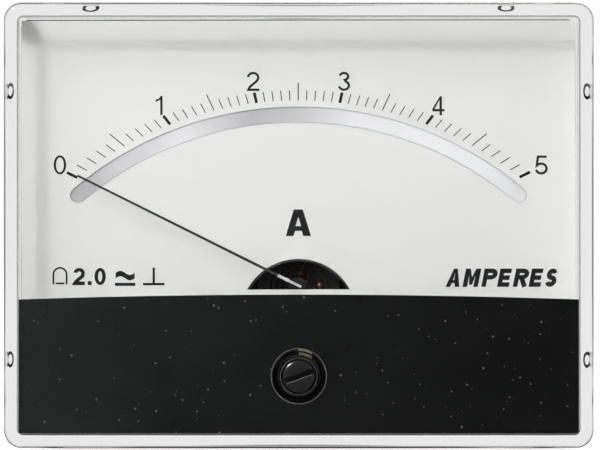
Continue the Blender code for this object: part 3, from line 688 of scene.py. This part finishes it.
# The unit letter is a heavy A drawn with square-cut strokes.
A_HALF, A_LOW, A_TOP, A_STROKE, A_BAR = 1.85, -1.55, 2.35, 1.15, 0.7
A_PEAK, A_FOOT, A_NOTCH = A_STROKE * 0.58, A_HALF - A_STROKE, 0.22
letter = [(-A_HALF, A_LOW), (-A_PEAK, A_TOP), (A_PEAK, A_TOP), (A_HALF, A_LOW), (A_FOOT, A_LOW),
          (A_FOOT - A_NOTCH, A_LOW + 0.75), (A_NOTCH - A_FOOT, A_LOW + 0.75), (-A_FOOT, A_LOW)]
counter = [(-0.42, A_LOW + 0.75 + A_BAR), (0.42, A_LOW + 0.75 + A_BAR), (0.0, A_LOW + 2.75)]
strip("unit_letter", [letter, counter], ink_black)

# Symbols: moving-coil movement, direct and alternating current, and upright mounting.
SYMBOL_Z = -7.5
COIL_X, COIL_SIGN_R, COIL_FOOT = -34.95, 0.97, SYMBOL_Z - 1.1
BAR_X, WAVE_LENGTH, WAVE_HEIGHT, WAVE_WEIGHT, WAVE_POINTS = -25.4, 2.8, 0.3, 0.8, 20
UPRIGHT_X, UPRIGHT_WEIGHT = -21.2, 0.34
arch = arc(COIL_SIGN_R, COIL_X, SYMBOL_Z + 0.35, -90, 90, 20)
strip("symbol_coil", [stroke([(COIL_X - COIL_SIGN_R, COIL_FOOT)] + arch
                             + [(COIL_X + COIL_SIGN_R, COIL_FOOT)], 0.26)], ink_black)
strip("symbol_coil_foot", [round_box(1.25, 0.27, 0.03, COIL_X, COIL_FOOT + 0.14, 2)], ink_black)
strip("symbol_bar", [round_box(3.0, 0.46, 0.05, BAR_X, SYMBOL_Z - 1.1, 2)], ink_black)
wave_top = [(BAR_X + WAVE_LENGTH * (i / WAVE_POINTS - 0.5),
             SYMBOL_Z + 0.58 + WAVE_HEIGHT * math.sin(2 * math.pi * i / WAVE_POINTS))
            for i in range(WAVE_POINTS + 1)]
strip("symbol_wave", [wave_top + [(x, z - WAVE_WEIGHT) for x, z in reversed(wave_top)]],
      ink_black)
strip("symbol_upright_foot", [round_box(3.15, UPRIGHT_WEIGHT, 0.03, UPRIGHT_X,
                                        SYMBOL_Z - 1.07, 2)], ink_black)
strip("symbol_upright_stem", [round_box(UPRIGHT_WEIGHT, 2.24, 0.03, UPRIGHT_X,
                                        SYMBOL_Z + 0.22, 2)], ink_black)


# ---- window: the opening in the dial over the movement ----
# A thin dark lip follows the arc of the cut edge, inside the paint.
WINDOW_R, WINDOW_TOP, WINDOW_BASE, LIP, LIP_DEPTH = 8.58, -4.9, -9.4, 0.32, 0.1
window_z = WINDOW_TOP - WINDOW_R
half_span = math.degrees(math.acos((WINDOW_BASE - window_z) / WINDOW_R))
lip = plate("window_lip", [arc(WINDOW_R, 0, window_z, -half_span, half_span, 48)
                           + arc(WINDOW_R - LIP, 0, window_z, half_span, -half_span, 48)],
            dial_low.y + LIP_DEPTH, dial_high.y)
handed_over(lip, finish("cut_edge", (0.045, 0.045, 0.044), 0.5, 0.3, vary=0.8, scale=1500),
            "case")


# ---- mirror strip: silvered band under the dial's slot ----
# Its colour carries a painted reflection, mid grey on the left and bright on the right.
MIRROR_PAINTED_REFLECTION = ((0.0, 0.46), (0.1, 0.68), (0.25, 0.88), (0.4, 0.55), (0.5, 0.66), (0.62, 0.94),
                (0.75, 1.0), (0.9, 1.0), (1.0, 0.82))
MIRROR_REACH, MIRROR_TINT = 0.034, (0.99, 0.985, 1.02)
dress("mirror_strip", repaint(
    finish("mirror_silver", (0.8, 0.8, 0.82), 0.4, 0.3, vary=0.02, bump=0.02, spread=0.02),
    lambda tree, base: tones_along(tree, MIRROR_REACH, MIRROR_PAINTED_REFLECTION, MIRROR_TINT)))


# ---- pointer: a thin aluminium blade on the moving coil ----
# It is painted black, but for its root in the dial's window, which stays bare metal.
ROOT_R, ROOT_BLUR = 3.5, 0.1


def near_pivot(tree, radius):
    """One within a radius of the pivot in X and Z, and nothing outside it."""
    flat_place = add_node(tree, "ShaderNodeVectorMath", {0: object_place(tree), 1: (1, 0, 1)},
                          operation="MULTIPLY")
    away = add_node(tree, "ShaderNodeVectorMath", {
        0: flat_place.outputs[0], 1: (0, 0, PIVOT_Z * MM)}, operation="DISTANCE")
    return between(tree, away.outputs["Value"], (radius + ROOT_BLUR) * MM,
                   (radius - ROOT_BLUR) * MM)


def bare_root(tree, base):
    """Leaves the metal bare near the pivot."""
    bare = near_pivot(tree, ROOT_R)
    tree.links.new(bare, tree.nodes["Principled BSDF"].inputs["Metallic"])
    return mix_colour(tree, bare, base, (0.85, 0.85, 0.86, 1))


dress("pointer", repaint(finish("pointer_paint", (0.01, 0.01, 0.01), 0.5, vary=0.2), bare_root))
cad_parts["pointer"].visible_shadow = False


# ---- zero adjuster: a glossy black turned screw in the cover's boss ----
# It has a wide slot in front and an eccentric pin behind, between the prongs of the zero lever.
# A grey strip on the slot's lower lip is a painted highlight.
HEAD_R, COLLAR_R, HEAD_REAR, COLLAR_REAR = 2.35, 3.1, -8.3, -7.2
SLOT_TURN, SLOT_HALF, SLOT_DEPTH = 20.0, 0.4, 1.0
PIN_R, ECCENTRIC, PIN_ROOT, PIN_END = 0.6, 1.2, -7.6, -2.0


def slot_box(half_length, low, high):
    """A rectangle along the slot."""
    c, s = math.cos(math.radians(SLOT_TURN)), math.sin(math.radians(SLOT_TURN))
    corners = ((-half_length, low), (half_length, low), (half_length, high),
               (-half_length, high))
    return [(u * c - v * s, ADJUSTER_Z + u * s + v * c) for u, v in corners]


adjuster_black = finish("adjuster_black", (0.022, 0.022, 0.022), 0.2, vary=0.3, bump=0.2,
                        spread=0.05)
head_front = adjuster_low.y
adjuster = turned("zero_adjuster_screw", [
    (0, head_front), (HEAD_R - 0.35, head_front), (HEAD_R - 0.1, head_front + 0.1),
    (HEAD_R, head_front + 0.35), (HEAD_R, HEAD_REAR), (COLLAR_R - 0.1, HEAD_REAR),
    (COLLAR_R, HEAD_REAR + 0.1), (COLLAR_R, COLLAR_REAR - 0.1), (COLLAR_R - 0.1, COLLAR_REAR),
    (0, COLLAR_REAR)], 0, ADJUSTER_Z, 64)
adjuster = cut(adjuster, plate("slot", [slot_box(4, -SLOT_HALF, SLOT_HALF)], -16,
                               head_front + SLOT_DEPTH))
pin = turned("pin", [(0, PIN_ROOT), (PIN_R, PIN_ROOT), (PIN_R, PIN_END - 0.2),
                     (PIN_R - 0.2, PIN_END), (0, PIN_END)], 0, ADJUSTER_Z + ECCENTRIC, 24)
adjuster = cut(adjuster, pin, "UNION")
bevel = adjuster.modifiers.new("edge", "BEVEL")
bevel.width, bevel.segments, bevel.angle_limit = 0.06 * MM, 2, math.radians(50)
adjuster = finished(adjuster)
smooth(adjuster)
handed_over(adjuster, adjuster_black, "zero_adjuster", "zero_adjuster")
# Painted highlight on the slot's lower lip.
slot_lip = plate("slot_lip", [slot_box(1.9, -0.47, -0.39)], head_front - 0.01, head_front + 0.1)
handed_over(slot_lip, finish("slot_edge_highlight", (0.2, 0.2, 0.2), 0.35, vary=0.8, scale=2500),
            "zero_adjuster")


# ---- zero lever: a flat ivory nylon fork that the adjuster's pin swings ----
# Its hub and its left prong are blackened.
HUB_R = 7.0


def blackened_hub(tree, base):
    """Blackens what is near the pivot and everything left of it."""
    left = math_node(tree, "LESS_THAN", object_axes(tree)["X"], 0.0)
    dark = math_node(tree, "MAXIMUM", left, near_pivot(tree, HUB_R))
    return mix_colour(tree, dark, base, (0.01, 0.01, 0.01, 1))


dress("zero_lever", repaint(finish("ivory_nylon", (0.72, 0.64, 0.42), 0.42, vary=0.06),
                            blackened_hub))


# ---- movement: bridges, yoke, core, staffs, springs and weights, as turned and stamped ----
# Front parts are blackened, so that they don't show in the dial's window. A drop of solder with a
# copper skin stands on the front hairspring, which the lever carries.
brass = finish("brass", (0.66, 0.47, 0.2), 0.3, 1.0)
steel = finish("zinc_plate", (0.64, 0.64, 0.62), 0.3, 1.0, vary=0.14, scale=700)
aluminium = finish("aluminium", (0.8, 0.8, 0.81), 0.35, 1.0)
blackened = finish("blackened_brass", (0.006, 0.006, 0.006), 0.45, 0.2)
bronze = finish("spring_bronze", (0.72, 0.42, 0.2), 0.28, 1.0)
copper = finish("enamelled_copper", (0.62, 0.2, 0.08), 0.25, 1.0, coat=0.6)
dark_bronze = finish("dark_bronze", (0.07, 0.045, 0.03), 0.45, 0.8)
magnet = finish("magnet_alloy", (0.14, 0.14, 0.15), 0.5, 0.7, vary=0.2)
sleeve = finish("wire_sleeve", (0.45, 0.02, 0.02), 0.5, vary=0.15)
SIDES = ("left", "right")
FINISHES = {
    brass: ["rear_bridge", "core_spacer_upper", "core_spacer_lower", "rear_jewel_screw",
            "rear_lock_nut", "rear_abutment"]
    + [f"{kind}_{end}" for kind in ("front_spacer", "rear_spacer") for end in SIDES],
    steel: ["front_pivot", "rear_pivot"]
    + [f"{kind}_{end}" for kind in ("dial_screw", "movement_screw") for end in SIDES],
    aluminium: ["coil_former"],
    blackened: ["front_bridge", "front_jewel_screw", "front_lock_nut", "balance_cross",
                "tail_weight", "side_weight_left", "side_weight_right", "yoke_ring"],
    dark_bronze: ["front_hairspring", "rear_hairspring"],
    bronze: ["shunt_strip"],
    copper: ["coil_winding"],
    magnet: ["core_magnet"],
    sleeve: [f"lead_wire_{end}" for end in SIDES],
}
for made, nodes in FINISHES.items():
    for node in nodes:
        dress(node, made)

DROP_X, DROP_Y, DROP_Z, DROP_R, DROP_STEPS = 3.15, 1.9, -8.75, 0.42, 12
turns = [math.pi * i / DROP_STEPS for i in range(DROP_STEPS + 1)]
drop = turned("solder_drop", [(DROP_R * math.sin(t), DROP_Y - DROP_R * math.cos(t))
                              for t in turns], DROP_X, DROP_Z, 24)
smooth(drop)
handed_over(drop, finish("solder_copper", (0.95, 0.5, 0.25), 0.35, 0.9, vary=0.2), "zero_lever")


# ---- case: black phenolic moulding, flange and barrel in one, with a rebated floor ----
# Two posts inside carry the movement, and four bosses on the flange carry the dial. The floor has
# holes for the terminals, raised polarity marks and round ejector marks.
case_high = limits("base_case")[1]
BARREL_R, BARREL_WALL, BARREL_STEPS = 30.0, 2.0, 160
FLANGE_W, FLANGE_H, FLANGE_FRONT = 81.4, 60.4, -2.6
STUD_X, STUD_Z, TERMINAL_X, TERMINAL_Z, POST_X, POST_Z = 36.0, 25.0, 13.0, 13.0, 14.5, -12.6
DIAL_BOSS_X, DIAL_BOSS_Z, TOP_BOSS_X, TOP_BOSS_Z = 33.0, -13.2, 30.0, 26.4
BOSS_FRONT, BOSS_BACK, MARK_UP, MARK_LONG, MARK_WIDE = -3.5, -1.6, 20.6, 2.6, 0.6
EJECTOR_R, EJECTOR_AWAY, FLOOR_FRONT = 1.6, 21, 27.6
inner_r = BARREL_R - BARREL_WALL
rear_face, rear_rim = case_high.y - 0.5, case_high.y


def rod(name, x, z, radius, front, back):
    """A plain round rod."""
    return turned(name, [(0, front), (radius, front), (radius, back), (0, back)], x, z, 32)


flange_holes = [circle(BARREL_R - 0.9, count=128)]
flange_holes += [circle(1.8, x * STUD_X, z * STUD_Z, 32) for x in (-1, 1) for z in (-1, 1)]
case = plate("case_moulding", [round_box(FLANGE_W, FLANGE_H, 1.2)] + flange_holes,
             FLANGE_FRONT, 0)
barrel = turned("barrel", [(inner_r, -2.0), (BARREL_R, -2.0), (BARREL_R, 0.6),
                           (BARREL_R, rear_rim - 0.8), (BARREL_R - 0.25, rear_rim - 0.2),
                           (BARREL_R - 0.8, rear_rim), (inner_r + 0.5, rear_rim),
                           (inner_r + 0.3, rear_face), (0.2, rear_face), (0.2, FLOOR_FRONT),
                           (inner_r, FLOOR_FRONT)], 0, 0, BARREL_STEPS)
case = cut(case, barrel, "UNION")
for side in (-1, 1):
    case = cut(case, rod("post", side * POST_X, POST_Z, 2.8, 21.2, 28.4), "UNION")
    for x, z, radius in ((DIAL_BOSS_X, DIAL_BOSS_Z, 2.6), (TOP_BOSS_X, TOP_BOSS_Z, 2.0)):
        case = cut(case, rod("boss", side * x, z, radius, BOSS_FRONT, BOSS_BACK), "UNION")
HOLES = [(side * POST_X, POST_Z, 1.25, 18, 27.4) for side in (-1, 1)]
HOLES += [(side * DIAL_BOSS_X, DIAL_BOSS_Z, 1.05, -5, -0.8) for side in (-1, 1)]
HOLES += [(side * TERMINAL_X, TERMINAL_Z, 2.3, 24, 34) for side in (-1, 1)]
HOLES += [(side * STUD_X, row * STUD_Z, 2.9, -5, -1.0) for side in (-1, 1) for row in (-1, 1)]
HOLES += [(0, 0, 0.6, 20, 34)]
MARKS = ((TERMINAL_X, MARK_LONG, MARK_WIDE), (TERMINAL_X, MARK_WIDE, MARK_LONG),
         (-TERMINAL_X, MARK_LONG, MARK_WIDE))
for x, z, radius, front, back in HOLES:
    case = cut(case, rod("hole", x, z, radius, front, back))
for x, wide, high in MARKS:
    case = cut(case, plate("mark", [round_box(wide, high, 0.1, x, MARK_UP, 2)], rear_face - 0.3,
                           rear_face + 0.3), "UNION")
for turn in (45, 135, 225, 315):
    t = math.radians(turn)
    case = cut(case, rod("ejector", EJECTOR_AWAY * math.cos(t), EJECTOR_AWAY * math.sin(t),
                         EJECTOR_R, rear_face - 0.15, rear_face + 1))
smooth(case)
case_black = finish("case_black", (0.018, 0.018, 0.019), 0.36, vary=0.25, scale=500, bump=0.25)
handed_over(case, case_black, "case", "base_case")


# ---- studs: rolled threads on plated steel at the corners, on brass at the terminals ----
# Each corner stud has a washer and a nut that pull the flange to the panel. Each terminal has a
# base nut on the floor, and a washer and a nut for the wire.
def thread_tree():
    """A round ridge that winds along a rod."""
    tree, start, end = geometry_tree("rolled_thread", {
        "Turns": FLOAT, "Radius": FLOAT, "Length": FLOAT, "Ridge": FLOAT, "Metal": MATERIAL})
    value = start.outputs
    helix = add_node(tree, "GeometryNodeCurveSpiral", {
        "Resolution": 24, "Rotations": value["Turns"], "Start Radius": value["Radius"],
        "End Radius": value["Radius"], "Height": value["Length"]})
    ridge = add_node(tree, "GeometryNodeCurvePrimitiveCircle", {
        "Resolution": 6, "Radius": value["Ridge"]})
    body = add_node(tree, "GeometryNodeCurveToMesh", {
        "Curve": helix.outputs[0], "Profile Curve": ridge.outputs[0], "Fill Caps": True})
    return ends_in(tree, end, body.outputs[0], value["Metal"])


THREAD = thread_tree()


def joined(objects, name):
    """One mesh object out of several that are already in place."""
    made = bpy.data.meshes.new(name)
    work = bmesh.new()
    for obj in objects:
        work.from_mesh(obj.data)
    work.to_mesh(made)
    work.free()
    for obj in objects:
        bpy.data.objects.remove(obj, do_unlink=True)
    done = bpy.data.objects.new(name, made)
    bpy.context.scene.collection.objects.link(done)
    return done


def threaded(name, profile, x, z, radius, pitch, first, last, metal, node):
    """A turned stud with a rolled thread between two depths."""
    ridge = 0.30 * pitch
    core = turned(name + "_core", profile, x, z, 32)
    winding = grown(name + "_thread", THREAD, {
        "Turns": (last - first) / pitch, "Radius": (radius - ridge) * MM,
        "Length": (last - first) * MM, "Ridge": ridge * MM, "Metal": metal})
    winding.rotation_euler = (math.radians(-90), 0, 0)
    winding.location = (x * MM, first * MM, z * MM)
    done = joined([core, finished(winding)], name)
    smooth(done, 50)
    handed_over(done, metal, "case", node)


def hex_nut(name, x, z, flats, bore, front, back, metal, node):
    """A hexagon nut with both faces chamfered and its bore countersunk."""
    corner, edge, sink = flats / 2 / math.cos(math.radians(30)), flats / 2 * 0.97, 1.35
    drop = (corner - edge) * 0.55
    crown = turned("crown", [(0, front), (edge, front), (corner + 0.1, front + drop),
                             (corner + 0.1, back - drop), (edge, back), (0, back)], x, z, 64)
    nut = cut(plate(name, [circle(corner, x, z, 6)], front, back), crown, "INTERSECT")
    hole = turned("hole", [(0, front - 1), (bore + sink, front - 1), (bore, front + 0.35),
                           (bore, back - 0.35), (bore + sink, back + 1), (0, back + 1)],
                  x, z, 40)
    nut = cut(nut, hole)
    smooth(nut, 30)
    handed_over(nut, metal, "case", node)


def washer(name, x, z, outer, bore, front, back, metal, node):
    """A stamped washer, rounded on its front edge and sharp behind."""
    edge = 0.15
    made = turned(name, [(bore, front), (outer - edge, front),
                         (outer - 0.3 * edge, front + 0.3 * edge), (outer, front + edge),
                         (outer, back - 0.05), (outer - 0.05, back), (bore, back)], x, z, 64)
    smooth(made)
    handed_over(made, metal, "case", node)


for side, end in ((-1, "left"), (1, "right")):
    for row, level in ((-1, "lower"), (1, "upper")):
        x, z, where = side * STUD_X, row * STUD_Z, f"{level}_{end}"
        threaded(f"corner_stud_{where}", [(0, -2.4), (2.3, -2.4), (2.5, -2.2), (2.5, -1.3),
                                          (1.28, -1.3), (1.28, 11.6), (1.0, 12), (0, 12)],
                 x, z, 1.5, 0.5, -0.9, 11.5, steel, f"mounting_stud_{where}")
        washer(f"corner_washer_{where}", x, z, 3.5, 1.8, 2.3, 2.8, steel,
               f"mounting_washer_{where}")
        hex_nut(f"corner_nut_{where}", x, z, 5.5, 1.62, 3.1, 5.5, steel,
                f"mounting_nut_{where}")
    x, z = side * TERMINAL_X, TERMINAL_Z
    threaded(f"terminal_screw_{end}", [(0, 23.4), (3.4, 23.4), (3.6, 23.6), (3.6, 26.2),
                                       (1.72, 26.2), (1.72, 42.4), (1.3, 43), (0, 43)],
             x, z, 2.0, 0.7, 26.6, 42.3, brass, f"terminal_stud_{end}")
    hex_nut(f"base_nut_{end}", x, z, 7.0, 2.12, rear_rim, rear_rim + 2.4, brass,
            f"terminal_base_nut_{end}")
    washer(f"wire_washer_{end}", x, z, 4.5, 2.3, 34.2, 35.0, steel,
           f"terminal_washer_{end}")
    hex_nut(f"wire_nut_{end}", x, z, 7.0, 2.12, 35.3, 38.5, brass,
            f"terminal_wire_nut_{end}")


# ---- coil winding: the outer layer of enamelled copper wire round the former ----
# The turns lie side by side. The coil stands at the pointer's rest angle.
def wire_loops():
    """Round wire in rectangular turns, side by side."""
    tree, start, end = geometry_tree("wire_loops", {
        "Width": FLOAT, "Height": FLOAT, "Corner": FLOAT, "Wire": FLOAT, "Pitch": FLOAT,
        "Count": INT, "Metal": MATERIAL})
    value = start.outputs
    shape = add_node(tree, "GeometryNodeCurvePrimitiveQuadrilateral", {
        "Width": value["Width"], "Height": value["Height"]})
    corners = add_node(tree, "GeometryNodeFilletCurve", {
        "Curve": shape.outputs[0], "Count": 4, "Radius": value["Corner"]}, mode="POLY")
    ring = add_node(tree, "GeometryNodeCurvePrimitiveCircle", {
        "Resolution": 6, "Radius": value["Wire"]})
    loop = add_node(tree, "GeometryNodeCurveToMesh", {
        "Curve": corners.outputs[0], "Profile Curve": ring.outputs[0]})
    step = add_node(tree, "ShaderNodeCombineXYZ", {2: value["Pitch"]})
    line = add_node(tree, "GeometryNodeMeshLine", {
        "Count": value["Count"], "Offset": step.outputs[0]})
    copies = add_node(tree, "GeometryNodeInstanceOnPoints", {
        "Points": line.outputs[0], "Instance": loop.outputs[0]})
    return ends_in(tree, end, copies.outputs[0], value["Metal"])


LOOPS, WIRE_R, COIL_TURN, COIL_Y = 10, 0.065, 63.5, 9.7
COIL_HALF_W, COIL_H, COIL_CORNER = 7.9, 13.4, 0.6
wires = finished(grown("coil_wires", wire_loops(), {
    "Width": 2 * COIL_HALF_W * MM, "Height": COIL_H * MM, "Corner": COIL_CORNER * MM,
    "Wire": WIRE_R * MM, "Pitch": 2 * WIRE_R * MM, "Count": LOOPS, "Metal": copper}))
wires.data.transform(Matrix.Translation((0, COIL_Y * MM, PIVOT_Z * MM))
                     @ Matrix.Rotation(math.radians(-COIL_TURN), 4, "Y")
                     @ Matrix.Translation((0, 0, -(LOOPS - 1) * WIRE_R * MM)))
smooth(wires, 60)
handed_over(wires, copper, "moving_coil")
